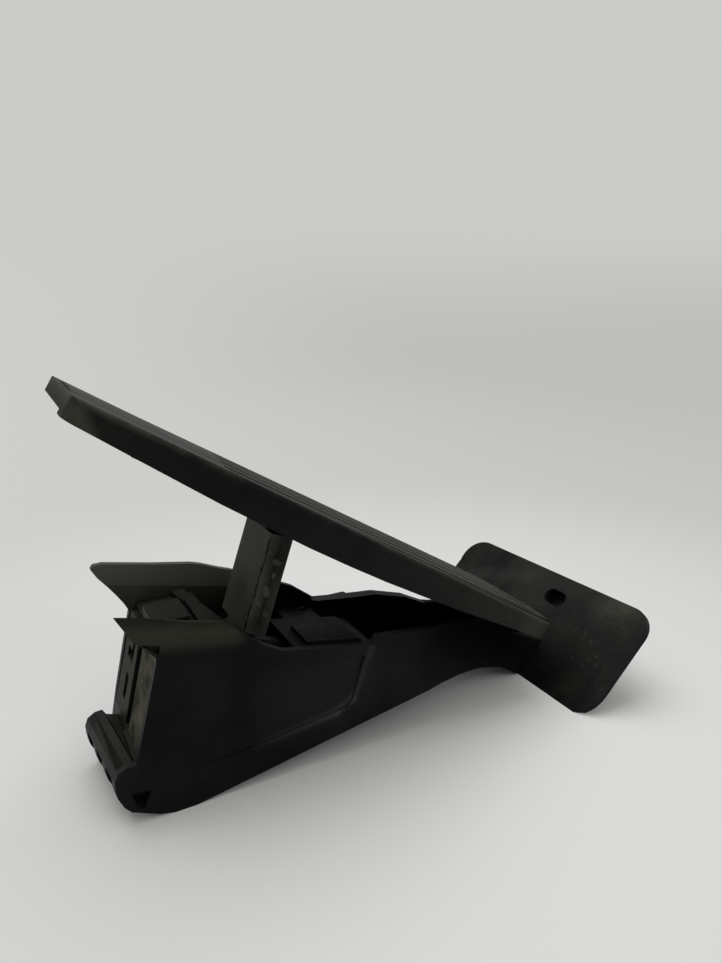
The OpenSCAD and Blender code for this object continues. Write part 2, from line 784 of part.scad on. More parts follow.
module sensor_room(shrink) {
    translate([sensor_x + case_t + shrink, sensor_z + case_t + shrink])
        square([sensor_l - 2 * case_t - 2 * shrink, sensor_h - 2 * case_t - 2 * shrink]);
}

module sensor_cover() {
    y0 = half_w + seal_t;
    color([0.12, 0.12, 0.13]) place() difference() {
        union() {
            across(y0, y0 + 3) sensor_plan();
            across(y0, y0 + sensor_d) translate([sensor_x, sensor_z]) rounded(sensor_l, sensor_h, 3);
            across(y0 + 1, y0 + sensor_d) translate([sensor_x - socket_l, sensor_z + 2])
                rounded(socket_l + 5, sensor_h - 5, 2);
        }
        // Room for the board, with a step that it rests on
        across(y0 - 1, board_y + 1.6) sensor_room(0);
        across(y0 - 1, y0 + sensor_d - case_t) sensor_room(1.5);
        across(y0 + 2.6, y0 + sensor_d - 1.6) translate([sensor_x - socket_l - 1, sensor_z + 3.6])
            square([socket_l - 1, sensor_h - 8.2]);
        for (p = screw_points) bar(p, screw_d, y0 - 1, y0 + 4);
        terminal_shape();
    }
}

module cover_seal() {
    color("darkslategray") place() across(half_w, half_w + seal_t) difference() {
        translate([sensor_x, sensor_z]) rounded(sensor_l, sensor_h, 3);
        sensor_room(0);
    }
}

module sensor_board() {
    color("darkgreen") place() difference() {
        across(board_y, board_y + 1.6) sensor_room(0.2);
        terminal_shape();
    }
}

module sensor_chip() {
    color("black") place() translate([shaft[0] - 3, board_y - 1.5, shaft[1] - 3]) cube([6, 1.5, 6]);
}

module terminal_shape() {
    for (i = [0:5]) translate([0, 0, sensor_z + 5 + i * 2]) {
        translate([sensor_x - socket_l + 6, pin_y, 0]) cube([socket_l + 3, pin_w, pin_w]);
        translate([sensor_x + 9 - pin_w, board_y - 0.6, 0])
            cube([pin_w, pin_y - board_y + 0.6 + pin_w, pin_w]);
    }
}

module terminal_pins() {
    color("gold") place() terminal_shape();
}

module cover_screws() {
    y0 = half_w + seal_t + 3;
    color("silver") place() for (p = screw_points) {
        bar(p, screw_d, inner_w - 3, y0 + 0.5);
        difference() {
            bar(p, 6, y0, y0 + 2);
            bar(p, 2.4, y0 + 1, y0 + 3);
        }
    }
}

bracket();
pad();
hinge_pin();
strut();
head_pin();
lever();
foot_pin();
shaft_bushes();
lever_shaft();
shaft_clip();
outer_spring();
inner_spring();
lower_spring_seat();
upper_spring_seat();
friction_shoe();
stop_buffer();
magnet_holder();
magnet();
deck_cover();
front_cover();
end_cover();
end_latch();
sensor_cover();
cover_seal();
sensor_board();
sensor_chip();
terminal_pins();
cover_screws();
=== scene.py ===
import json
import math
import bpy
import bmesh
import numpy as np
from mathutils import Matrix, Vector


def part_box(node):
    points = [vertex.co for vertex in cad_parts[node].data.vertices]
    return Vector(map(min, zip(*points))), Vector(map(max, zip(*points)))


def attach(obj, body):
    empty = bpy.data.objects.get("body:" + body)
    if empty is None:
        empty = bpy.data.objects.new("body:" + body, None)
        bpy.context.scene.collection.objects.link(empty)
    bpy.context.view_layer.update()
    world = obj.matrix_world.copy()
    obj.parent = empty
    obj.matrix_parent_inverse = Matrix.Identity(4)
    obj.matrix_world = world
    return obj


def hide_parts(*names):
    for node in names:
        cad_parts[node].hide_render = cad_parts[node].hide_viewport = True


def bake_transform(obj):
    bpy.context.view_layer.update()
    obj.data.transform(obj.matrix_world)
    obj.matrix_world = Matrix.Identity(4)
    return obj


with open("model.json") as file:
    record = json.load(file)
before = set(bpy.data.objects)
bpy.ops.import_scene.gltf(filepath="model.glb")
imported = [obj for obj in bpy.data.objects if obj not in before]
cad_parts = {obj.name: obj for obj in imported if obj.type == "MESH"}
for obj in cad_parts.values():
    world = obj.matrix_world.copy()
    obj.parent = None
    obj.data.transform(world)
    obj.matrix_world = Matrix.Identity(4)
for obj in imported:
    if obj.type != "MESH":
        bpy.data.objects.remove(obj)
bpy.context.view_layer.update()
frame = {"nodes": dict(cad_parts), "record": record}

mm = 0.001
fullTurn = 2 * math.pi
scene = bpy.context.scene
scene.view_settings.view_transform = "Standard"
bodyOf = {node: body for body, nodes in frame["record"]["behaviour"]["bodies"].items() for node in nodes}
slotOf = {part["node"]: part["material_slot"] for part in frame["record"]["subparts"]}
# Places on the part are given in mm from the foot of the bracket's left end, as on the real part
leftFoot = np.array([-104.5556, -8.25, 0.0])

# Camera, as the photograph was taken: place in metres, turn in degrees
cameraView = {
    "place": (-0.13657, -0.26965, 0.18637),
    "turn": (74.861, 1.028, -27.605),
    "focalPixels": 723.0,
    "framePixels": 722.0,
    "sensor": 36.0,
    "nearClip": 0.01,
}


def addCamera():
    data = bpy.data.cameras.new("camera")
    data.sensor_fit = "HORIZONTAL"
    data.sensor_width = cameraView["sensor"]
    data.lens = cameraView["sensor"] * cameraView["focalPixels"] / cameraView["framePixels"]
    data.clip_start = cameraView["nearClip"]
    camera = bpy.data.objects.new("camera", data)
    camera.location = cameraView["place"]
    camera.rotation_euler = [math.radians(a) for a in cameraView["turn"]]
    scene.collection.objects.link(camera)
    scene.camera = camera


addCamera()
print("camera set")


# Mesh helpers

def editMesh(mesh, change):
    work = bmesh.new()
    work.from_mesh(mesh)
    change(work)
    work.to_mesh(mesh)
    work.free()


def meshPoints(mesh):
    points = np.empty(len(mesh.vertices) * 3)
    mesh.vertices.foreach_get("co", points)
    return points.reshape(-1, 3)


def meshFromGrid(name, points, tube=False):
    # points is an array (rows, columns, 3); each cell becomes one quad
    # In a tube the last column joins the first, and both ends get a flat cap
    rows, columns = points.shape[:2]
    index = np.arange(rows * columns).reshape(rows, columns)
    caps = [index[0].tolist(), index[-1].tolist()] if tube else []
    if tube:
        index = np.hstack([index, index[:, :1]])
    quads = np.stack([index[:-1, :-1], index[1:, :-1], index[1:, 1:], index[:-1, 1:]], -1).reshape(-1, 4)
    mesh = bpy.data.meshes.new(name)
    mesh.from_pydata(points.reshape(-1, 3).tolist(), [], quads.tolist() + caps)
    mesh.validate()
    smooth = np.ones(len(mesh.polygons), bool)
    smooth[len(quads):] = False
    mesh.polygons.foreach_set("use_smooth", smooth)
    if tube:
        editMesh(mesh, lambda work: bmesh.ops.recalc_face_normals(work, faces=work.faces))
    return mesh


def addPiece(name, mesh, material, node, body=None, standsForNode=False):
    # The piece takes the material it is given; one given no body rides on none
    piece = bpy.data.objects.new(name, mesh)
    scene.collection.objects.link(piece)
    mesh.materials.clear()
    mesh.materials.append(material)
    if body:
        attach(piece, body)
    if standsForNode:
        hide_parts(node)
    return piece


# Shader helpers

def feed(tree, socket, value):
    # Links another node's output, or sets a number, a vector or a colour
    if isinstance(value, bpy.types.NodeSocket):
        tree.links.new(value, socket)
    elif socket.type == "RGBA":
        socket.default_value = (*value, 1.0)
    else:
        socket.default_value = value


def addNode(tree, kind, **values):
    # Each value is a property of the node, or feeds the input of that name
    node = tree.nodes.new("ShaderNode" + kind)
    for key, value in values.items():
        if hasattr(node, key):
            setattr(node, key, value)
        else:
            feed(tree, node.inputs[key.replace("_", " ")], value)
    return node


def objectPlace(tree):
    return addNode(tree, "TexCoord").outputs["Object"]


def noise(tree, place, **values):
    return addNode(tree, "TexNoise", Vector=place, **values).outputs["Fac"]


def mapRange(tree, value, **values):
    return addNode(tree, "MapRange", Value=value, **values).outputs[0]


def reckon(tree, operation, first, second, clamp=False):
    node = addNode(tree, "Math", operation=operation, use_clamp=clamp)
    feed(tree, node.inputs[0], first)
    feed(tree, node.inputs[1], second)
    return node.outputs[0]


def reckonVector(tree, operation, first, second=None, output="Vector"):
    # The second value is a number for SCALE and a vector for the rest
    node = addNode(tree, "VectorMath", operation=operation)
    feed(tree, node.inputs[0], first)
    if second is not None:
        feed(tree, node.inputs["Scale" if operation == "SCALE" else 1], second)
    return node.outputs[output]


def mixColour(tree, factor, under, over):
    node = addNode(tree, "Mix", data_type="RGBA", Factor=factor)
    feed(tree, node.inputs[6], under)
    feed(tree, node.inputs[7], over)
    return node.outputs[2]


def mixNumber(tree, factor, low, high):
    node = addNode(tree, "Mix", data_type="FLOAT", Factor=factor)
    feed(tree, node.inputs[2], low)
    feed(tree, node.inputs[3], high)
    return node.outputs[0]


def newMaterial(name):
    material = bpy.data.materials.new(name)
    material.use_nodes = True
    return material, material.node_tree, material.node_tree.nodes["Principled BSDF"]


# Shader groups that more than one material uses

def newGroup(name, output, **inputs):
    # Inputs are numbers or vectors with their first values; the one output is a number
    group = bpy.data.node_groups.new(name, "ShaderNodeTree")
    for label, value in inputs.items():
        kind = "NodeSocketVector" if isinstance(value, tuple) else "NodeSocketFloat"
        group.interface.new_socket(label, in_out="INPUT", socket_type=kind).default_value = value
    group.interface.new_socket(output, in_out="OUTPUT", socket_type="NodeSocketFloat")
    return group, group.nodes.new("NodeGroupInput").outputs, group.nodes.new("NodeGroupOutput").inputs[output]


def buildGrain():
    # Fine leathery texture of moulded plastic: small cells and finer noise, as a height
    group, given, out = newGroup("mouldGrain", "Height", Scale=900.0)
    place = objectPlace(group)
    cells = addNode(group, "TexVoronoi", Vector=place, Scale=given["Scale"]).outputs["Distance"]
    feed(group, out, reckon(group, "ADD", cells, noise(group, place, Scale=given["Scale"], Detail=3.0)))
    return group


dustLook = {
    "patches": {"Detail": 6.0, "Roughness": 0.65},
    "patchRange": {"From_Min": 0.38, "From_Max": 0.72},
    "specks": {"Scale": 1400.0, "Detail": 2.0},
    "speckRange": {"From_Min": 0.3, "From_Max": 0.7, "To_Min": 0.55, "To_Max": 1.0},
    "facingRange": {"From_Min": -0.1, "From_Max": 0.8},
}


def buildDust():
    # Dust that lies on faces that look up, in patches: a mask from 0 to 1
    group, given, out = newGroup("dustFilm", "Mask", Scale=40.0, Amount=0.4, Everywhere=0.2)
    place = objectPlace(group)
    normal = addNode(group, "NewGeometry").outputs["Normal"]
    up = addNode(group, "SeparateXYZ", Vector=normal).outputs["Z"]
    facing = mapRange(group, up, To_Min=given["Everywhere"], **dustLook["facingRange"])
    patches = mapRange(group, noise(group, place, Scale=given["Scale"], **dustLook["patches"]),
                       **dustLook["patchRange"])
    specks = mapRange(group, noise(group, place, **dustLook["specks"]), **dustLook["speckRange"])
    film = reckon(group, "MULTIPLY", reckon(group, "MULTIPLY", facing, patches), specks)
    feed(group, out, reckon(group, "MULTIPLY", film, given["Amount"], clamp=True))
    return group


scuffLook = {
    "lines": {"Detail": 8.0, "Roughness": 0.75},
    "lineRange": {"From_Min": 0.56, "From_Max": 0.68},
    "patches": {"Scale": 28.0, "Detail": 3.0},
    "patchRange": {"From_Min": 0.42, "From_Max": 0.62},
    "scale": 320.0,
    "colour": (0.11, 0.11, 0.10),
}


def buildScuffs():
    # Short pale scratches: noise drawn out along one direction, kept where patches allow
    group, given, out = newGroup("scuffMarks", "Mask", Scale=60.0, Stretch=(1, 8, 1), Amount=0.5)
    place = objectPlace(group)
    drawn = reckonVector(group, "MULTIPLY", place, given["Stretch"])
    lines = mapRange(group, noise(group, drawn, Scale=given["Scale"], **scuffLook["lines"]),
                     **scuffLook["lineRange"])
    patches = mapRange(group, noise(group, place, **scuffLook["patches"]), **scuffLook["patchRange"])
    marks = reckon(group, "MULTIPLY", lines, patches)
    feed(group, out, reckon(group, "MULTIPLY", marks, given["Amount"], clamp=True))
    return group


spotLook = {
    "ragged": {"Scale": 95.0, "Detail": 5.0, "Roughness": 0.6},
    "edgeRange": {"From_Min": 1.5, "From_Max": 0.7},
}


def buildSpot():
    # A round patch with a ragged edge: distance over radius plus noise, 1 at the centre and 0 outside
    group, given, out = newGroup("raggedSpot", "Mask", Centre=(0, 0, 0), Radius=0.02)
    place = objectPlace(group)
    away = reckonVector(group, "DISTANCE", place, given["Centre"], output="Value")
    share = reckon(group, "DIVIDE", away, given["Radius"])
    ragged = reckon(group, "ADD", share, noise(group, place, **spotLook["ragged"]))
    feed(group, out, mapRange(group, ragged, **spotLook["edgeRange"]))
    return group


def buildStroke():
    # A soft line from Start to End: 1 on the line, 0 a Width away, and weaker by Fade towards its end
    group, given, out = newGroup("softStroke", "Mask", Start=(0, 0, 0), End=(1, 0, 0), Width=0.002, Fade=0.0)
    fromStart = reckonVector(group, "SUBTRACT", objectPlace(group), given["Start"])
    whole = reckonVector(group, "SUBTRACT", given["End"], given["Start"])
    along = reckonVector(group, "DOT_PRODUCT", fromStart, whole, output="Value")
    square = reckonVector(group, "DOT_PRODUCT", whole, whole, output="Value")
    share = reckon(group, "DIVIDE", along, square, clamp=True)
    foot = reckonVector(group, "SCALE", whole, share)
    away = reckonVector(group, "DISTANCE", fromStart, foot, output="Value")
    line = mapRange(group, away, From_Min=given["Width"], From_Max=0.0, interpolation_type="SMOOTHSTEP")
    left = reckon(group, "SUBTRACT", 1.0, reckon(group, "MULTIPLY", share, given["Fade"]))
    feed(group, out, reckon(group, "MULTIPLY", line, left))
    return group


groups = {"grain": buildGrain(), "dust": buildDust(), "scuffs": buildScuffs(), "spot": buildSpot(),
          "stroke": buildStroke()}


def useGroup(tree, key, **values):
    node = tree.nodes.new("ShaderNodeGroup")
    node.node_tree = groups[key]
    for label, value in values.items():
        feed(tree, node.inputs[label], value)
    return node.outputs[0]


def strokeMask(tree, start, end, width, fade=0.0):
    first, last = ((leftFoot + np.array(place)) * mm for place in (start, end))
    return useGroup(tree, "stroke", Start=first, End=last, Width=width * mm, Fade=fade)


def addPatch(tree, under, centre, radius, colour, amount, scratched=0.0, stretch=(1, 1, 1)):
    # Dust or dirt round one place, with scratches in it where asked
    spot = useGroup(tree, "spot", Centre=(leftFoot + np.array(centre)) * mm, Radius=radius * mm)
    laid = mixColour(tree, reckon(tree, "MULTIPLY", spot, amount), under, colour)
    if not scratched:
        return laid
    marks = useGroup(tree, "scuffs", Stretch=stretch, Amount=scratched, Scale=scuffLook["scale"])
    return mixColour(tree, reckon(tree, "MULTIPLY", spot, marks), laid, scuffLook["colour"])


def addStroke(tree, under, start, end, width, colour, amount, fade=0.0):
    # A soft line of another tone, such as a rubbed edge or a smear
    line = strokeMask(tree, start, end, width, fade)
    return mixColour(tree, reckon(tree, "MULTIPLY", line, amount), under, colour)


plasticLook = {
    "tone": {"Scale": 55.0, "Detail": 5.0},
    "toneRange": {"From_Min": 0.3, "From_Max": 0.7},
    "wearAndHighlightRange": {"From_Min": 0.3, "From_Max": 0.6, "To_Min": 0.25},
    "dustRough": 0.95,
    "matteRough": 1.0,
    "grainScale": 900.0,
    "relief": {"Strength": 0.2, "Distance": 0.0004},
}


def plastic(name, colour, rough, dustColour=(0.12, 0.118, 0.098), dust=0.3, everywhere=0.15, dustScale=40.0,
            mottling=0.25, gloss=0.1, patches=(), strokes=(), matte=None, wearAndHighlight=0.0,
            wearAndHighlightColour=(0.045, 0.046, 0.042)):
    # Mottled base, dust, patches, strokes, then rubbed edges by an attribute, edge wear with painted
    # highlight;
    # matte is a dull line
    material, tree, shader = newMaterial(name)
    tone = noise(tree, objectPlace(tree), **plasticLook["tone"])
    shade = mapRange(tree, tone, To_Min=1.0 - mottling, To_Max=1.0 + mottling, **plasticLook["toneRange"])
    dustMask = useGroup(tree, "dust", Scale=dustScale, Amount=dust, Everywhere=everywhere)
    colourOut = mixColour(tree, dustMask, reckonVector(tree, "SCALE", colour, shade), dustColour)
    roughOut = mapRange(tree, dustMask, To_Min=rough, To_Max=plasticLook["dustRough"])
    for patch in patches:
        colourOut = addPatch(tree, colourOut, **patch)
    for stroke in strokes:
        colourOut = addStroke(tree, colourOut, **stroke)
    if matte:
        roughOut = mixNumber(tree, strokeMask(tree, **matte), roughOut, plasticLook["matteRough"])
    # Rounded edges get a paler tone: partly edge wear, partly painted highlight
    if wearAndHighlight:
        edge = addNode(tree, "Attribute", attribute_name="edgeWearAndHighlight").outputs["Fac"]
        uneven = mapRange(tree, tone, To_Max=wearAndHighlight, **plasticLook["wearAndHighlightRange"])
        colourOut = mixColour(tree, reckon(tree, "MULTIPLY", edge, uneven), colourOut, wearAndHighlightColour)
    grain = useGroup(tree, "grain", Scale=plasticLook["grainScale"])
    relief = addNode(tree, "Bump", Height=grain, **plasticLook["relief"]).outputs[0]
    feed(tree, shader.inputs["Specular IOR Level"], gloss)
    feed(tree, shader.inputs["Base Color"], colourOut)
    feed(tree, shader.inputs["Roughness"], roughOut)
    feed(tree, shader.inputs["Normal"], relief)
    return material


metalLook = {
    "stretch": (900.0, 60.0, 900.0),
    "lines": {"Scale": 1.0, "Detail": 3.0},
    "tone": {"Scale": 160.0, "Detail": 4.0},
    "smoother": 0.075,
    "rougher": 0.15,
    "darkest": 0.8,
}


def metal(name, colour, rough):
    # Brushed metal: noise drawn out along Y sets the roughness, and a finer noise the tone
    material, tree, shader = newMaterial(name)
    place = objectPlace(tree)
    drawn = addNode(tree, "Mapping", Vector=place, Scale=metalLook["stretch"]).outputs[0]
    lines = noise(tree, drawn, **metalLook["lines"])
    uneven = mapRange(tree, lines, To_Min=rough - metalLook["smoother"], To_Max=rough + metalLook["rougher"])
    dark = [metalLook["darkest"] * c for c in colour]
    colourOut = mixColour(tree, noise(tree, place, **metalLook["tone"]), dark, colour)
    feed(tree, shader.inputs["Metallic"], 1.0)
    feed(tree, shader.inputs["Base Color"], colourOut)
    feed(tree, shader.inputs["Roughness"], uneven)
    return material


dustTone = (0.050, 0.052, 0.040)
# Pale tone of a painted highlight on the sunken panel's edge
panelEdgeHighlightTone = (0.055, 0.060, 0.055)
smearTone = (0.0022, 0.0028, 0.0028)
bracketPatches = [
    {"centre": (200, -29, 18), "radius": 9, "colour": (0.003, 0.0035, 0.003), "amount": 0.85,
     "scratched": 0.4},
    {"centre": (203, -34, 21), "radius": 26, "colour": (0.016, 0.017, 0.015), "amount": 0.8,
     "scratched": 0.55},
    {"centre": (220, -40, 38), "radius": 19, "colour": dustTone, "amount": 0.3, "scratched": 0.6,
     "stretch": (1, 3, 1)},
    {"centre": (218, 6, 36), "radius": 40, "colour": (0.030, 0.031, 0.029), "amount": 0.35},
    {"centre": (222, -40, 40), "radius": 11, "colour": (0.075, 0.070, 0.055), "amount": 0.45,
     "scratched": 0.7},
    {"centre": (214, -28, 32), "radius": 12, "colour": (0.045, 0.046, 0.042), "amount": 0.3,
     "scratched": 0.9, "stretch": (1, 2, 3)},
    {"centre": (14, 25, 66), "radius": 40, "colour": dustTone, "amount": 0.55},
    {"centre": (44, 25, 64), "radius": 30, "colour": dustTone, "amount": 0.5},
    {"centre": (-4, 0, 20), "radius": 22, "colour": dustTone, "amount": 0.3},
]
bracketStrokes = [
    # The edge of the sunken panel: a painted highlight where it faces up, together with wear
    {"start": (83.1, -27.6, 24.6), "end": (92, -27.6, 45), "width": 2.8, "colour": panelEdgeHighlightTone, "amount": 0.8,
     "fade": 0.5},
    {"start": (83.1, -27.6, 24.6), "end": (75.5, -27.6, 20.8), "width": 2.8, "colour": panelEdgeHighlightTone,
     "amount": 0.8},
    {"start": (75.5, -27.6, 20.8), "end": (41.6, -27.6, 16.9), "width": 3.0, "colour": panelEdgeHighlightTone,
     "amount": 0.8, "fade": 0.9},
    # Dark smears on the near wall, and painted shadow of the pad on the neck's near wall
    {"start": (39.5, -28, 57), "end": (34, -28, 16), "width": 8, "colour": smearTone, "amount": 0.75,
     "fade": 0.6},
    {"start": (37.5, -28, 57.4), "end": (43, -28, 57), "width": 2.2, "colour": smearTone, "amount": 0.9},
    {"start": (132, -28, 44), "end": (180, -28, 16), "width": 34, "colour": (0.0006, 0.0008, 0.0008),
     "amount": 1.0},
    # The heel plate's far and near bands
    {"start": (206, 62, 24), "end": (216, 22, 34), "width": 7, "colour": (0.040, 0.041, 0.040),
     "amount": 0.35},
    {"start": (212, -20, 30), "end": (204, -58, 22), "width": 12, "colour": (0.0055, 0.0065, 0.006),
     "amount": 0.6},
    # A painted highlight on the near wall's top edge, painted light on the near rim's upward band,
    # the far rim's top as dust with painted light, and the middle of the near wall
    {"start": (60, -28, 54), "end": (92, -28, 52), "width": 1.4, "colour": (0.06, 0.064, 0.06),
     "amount": 0.6},
    {"start": (-4, -26, 72), "end": (36, -26, 66), "width": 8, "colour": (0.050, 0.051, 0.036),
     "amount": 0.65},
    {"start": (0, 31, 80), "end": (60, 30, 66), "width": 17, "colour": (0.095, 0.096, 0.080),
     "amount": 0.85},
    {"start": (60, -28, 32), "end": (84, -28, 36), "width": 24, "colour": (0.0125, 0.0140, 0.0135),
     "amount": 0.7},
]
neckShade = {"start": (140, -22, 40), "end": (180, -22, 16), "width": 40}
# Painted shade: the deck in the hollow between the walls, darkened nearly to black
deckShadeStrokes = [
    {"start": (60, -8, 50), "end": (92, -8, 50), "width": 60, "colour": (0.0025, 0.0035, 0.002),
     "amount": 1.0},
]
padPatches = [
    {"centre": (176, -30, 34), "radius": 46, "colour": (0.026, 0.027, 0.024), "amount": 0.5,
     "scratched": 0.4},
    {"centre": (174, -32, 36), "radius": 11, "colour": (0.075, 0.076, 0.064), "amount": 0.6,
     "scratched": 0.8},
]
padEnd = {"start": (-12, -30, 149), "end": (-12, 34, 149), "width": 9}
padStrokes = [
    # The upper end, lighter as painted light from the left, with a painted highlight on its near corner,
    # then the near side, and the tread, lighter as painted light from above
    {**padEnd, "colour": (0.040, 0.041, 0.032), "amount": 0.9},
    {"start": (-9, -33, 152), "end": (-6.5, -33, 144), "width": 5, "colour": (0.046, 0.047, 0.037),
     "amount": 0.9},
    {"start": (182, -32, 31), "end": (95, -32, 84), "width": 17, "colour": (0.026, 0.028, 0.024),
     "amount": 0.6, "fade": 0.9},
    {"start": (60, -8, 113), "end": (172, -8, 43), "width": 27, "colour": (0.034, 0.035, 0.028),
     "amount": 0.55},
]
# Painted shade on the strut's near face: a darker patch high up and a darker band along its length
strutPatches = [{"centre": (61, -14, 82), "radius": 14, "colour": (0.012, 0.014, 0.011), "amount": 0.55}]
strutStrokes = [
    {"start": (50, -14, 60), "end": (66, -14, 100), "width": 8, "colour": (0.011, 0.013, 0.010),
     "amount": 0.85},
]
plastics = {
    "bracket_plastic": {
        "colour": (0.0040, 0.0050, 0.0046), "rough": 0.45, "gloss": 0.07, "mottling": 0.5, "dust": 0.25,
        "everywhere": 0.03, "patches": bracketPatches, "strokes": bracketStrokes, "matte": neckShade,
        "wearAndHighlight": 0.7},
    "pad_plastic": {
        "colour": (0.0042, 0.0052, 0.0046), "rough": 0.42, "gloss": 0.08, "dust": 0.45, "everywhere": 0.025,
        # Pale rounded edges on the pad: edge wear with a strong painted highlight
        "patches": padPatches, "strokes": padStrokes, "matte": padEnd, "wearAndHighlight": 0.8,
        "wearAndHighlightColour": (0.07, 0.072, 0.062)},
    "strut_plastic": {
        "colour": (0.056, 0.060, 0.051), "rough": 0.55, "dust": 0.5, "everywhere": 0.5,
        "patches": strutPatches, "strokes": strutStrokes},
    "blister_plastic": {
        "colour": (0.030, 0.032, 0.027), "rough": 0.4, "gloss": 0.25, "dust": 0.3, "everywhere": 0.3},
    "flash_plastic": {"colour": (0.006, 0.007, 0.006), "rough": 0.5, "dust": 0.3, "everywhere": 0.1},
    "inner_plastic": {"colour": (0.02, 0.02, 0.021), "rough": 0.5},
    "deck_plastic": {
        "colour": (0.008, 0.0095, 0.007), "rough": 0.5, "gloss": 0.07, "mottling": 0.5, "dust": 0.42,
        "dustColour": (0.075, 0.077, 0.053), "dustScale": 70.0, "everywhere": 0.1, "strokes": deckShadeStrokes},
    "dusty_plastic": {
        "colour": (0.022, 0.021, 0.016), "rough": 0.8, "mottling": 0.5, "dust": 0.95,
        "dustColour": (0.15, 0.142, 0.105), "dustScale": 110.0, "everywhere": 0.9},
    "shoe_plastic": {"colour": (0.42, 0.35, 0.24), "rough": 0.5},
    "seat_plastic": {"colour": (0.55, 0.55, 0.5), "rough": 0.5},
    "buffer_rubber": {"colour": (0.012, 0.012, 0.012), "rough": 0.8},
    "magnet_ferrite": {"colour": (0.04, 0.04, 0.045), "rough": 0.6},
    "board_laminate": {"colour": (0.01, 0.09, 0.035), "rough": 0.35},
    "chip_resin": {"colour": (0.01, 0.01, 0.01), "rough": 0.5},
}
metals = {
    "pin_steel": {"colour": (0.56, 0.56, 0.57), "rough": 0.3},
    "spring_steel": {"colour": (0.42, 0.42, 0.43), "rough": 0.28},
    "terminal_brass": {"colour": (0.75, 0.58, 0.26), "rough": 0.25},
}
finishes = {slot: plastic(slot.replace("_", " "), **look) for slot, look in plastics.items()}
finishes.update({slot: metal(slot.replace("_", " "), **look) for slot, look in metals.items()})
print("finishes ready:", len(finishes))

# Every CAD node starts with its finish, whether or not a finer piece replaces it
for node, thing in frame["nodes"].items():
    thing.data.materials.clear()
    thing.data.materials.append(finishes[slotOf[node]])

# Moulded pieces: copies of CAD nodes with rounded edges, each with its edge width in mm
edgeWidths = {"bracket": 0.8, "strut": 0.7, "deck_cover": 0.4, "front_cover": 0.4, "end_cover": 0.4,
              "end_latch": 0.4, "sensor_cover": 0.6, "pad": 0.7}
edgeForm = {"weld": 0.001, "flatAngle": 1.0, "segments": 3, "sharpAngle": 28.0}


def mergedCopy(node):
    # A CAD node's loose triangles, welded and with flat areas joined into single faces
    def merge(work):
        bmesh.ops.remove_doubles(work, verts=work.verts, dist=edgeForm["weld"] * mm)
        bmesh.ops.dissolve_limit(work, angle_limit=math.radians(edgeForm["flatAngle"]), verts=work.verts,
                                 edges=work.edges)

    mesh = frame["nodes"][node].data.copy()
    editMesh(mesh, merge)
    return mesh


def softEdges(mesh, width):
    # Rounds the edges; the edge attribute, for edge wear with painted highlight, is 1 along the middle
    # of each rounding and 0 off it
    mesh.materials.clear()
    for slot in range(2):
        mesh.materials.append(None)  # the second slot marks the faces that the bevel adds
    rough = bpy.data.objects.new("rough", mesh)
    scene.collection.objects.link(rough)
    bevel = rough.modifiers.new("edges", "BEVEL")
    bevel.width = width * mm
    bevel.segments = edgeForm["segments"]
    bevel.limit_method = "ANGLE"
    bevel.angle_limit = math.radians(edgeForm["sharpAngle"])
    bevel.use_clamp_overlap = True
    bevel.miter_outer = "MITER_ARC"
    bevel.material = 1
    normals = rough.modifiers.new("normals", "WEIGHTED_NORMAL")
    normals.keep_sharp = True
    done = bpy.data.meshes.new_from_object(rough.evaluated_get(bpy.context.evaluated_depsgraph_get()))
    bpy.data.objects.remove(rough)
    onEdge = np.empty(len(done.polygons), np.int32)
    done.polygons.foreach_get("material_index", onEdge)
    corners = np.empty(len(done.loops), np.int32)
    done.loops.foreach_get("vertex_index", corners)
    sides = np.empty(len(done.polygons), np.int32)
    done.polygons.foreach_get("loop_total", sides)
    edgeWearAndHighlight = np.ones(len(done.vertices), np.float32)
    np.minimum.at(edgeWearAndHighlight, corners, np.repeat(onEdge, sides).astype(np.float32))
    attribute = done.attributes.new("edgeWearAndHighlight", "FLOAT", "POINT")
    attribute.data.foreach_set("value", edgeWearAndHighlight)
    done.polygons.foreach_set("material_index", np.zeros(len(done.polygons), np.int32))
    return done


# The far rim folds outwards above a line that falls towards the neck
farFlange = {"lowest": 60.0, "foldHeight": 72.6, "foldSlope": -0.226, "innerFace": 24.4,
             "out": 0.55, "along": 0.09, "drop": 0.2, "weld": 0.001}


def leanFarFlange(mesh):
    # A shear: each point of the far wall moves out in proportion to its height over the fold line
    f = farFlange
    foot = leftFoot * mm

    def cutAlongFold(work):
        high = [face for face in work.faces if max(v.co.z for v in face.verts) > f["lowest"] * mm]
        edges = {edge for face in high for edge in face.edges}
        verts = {vert for face in high for vert in face.verts}
        bmesh.ops.bisect_plane(work, geom=list(verts) + list(edges) + high, dist=f["weld"] * mm,
                               plane_co=(foot[0], 0.0, f["foldHeight"] * mm),
                               plane_no=(-f["foldSlope"], 0.0, 1.0))

    editMesh(mesh, cutAlongFold)
    points = meshPoints(mesh)
    x, y, z = (points - foot).T / mm
    height = np.clip(z - f["foldHeight"] - f["foldSlope"] * x, 0.0, None) * (y > f["innerFace"])
    points += height[:, None] * np.array([f["along"], f["out"], -f["drop"]]) * mm
    mesh.vertices.foreach_set("co", points.ravel())


# The sunken panel of the near wall runs out to nothing towards the left
nearPanel = {"face": -28.0, "depth": 1.1, "flush": 20.0, "full": 75.0, "right": 95.0, "low": 13.0,
             "high": 63.0, "tolerance": 0.05, "weld": 0.02}


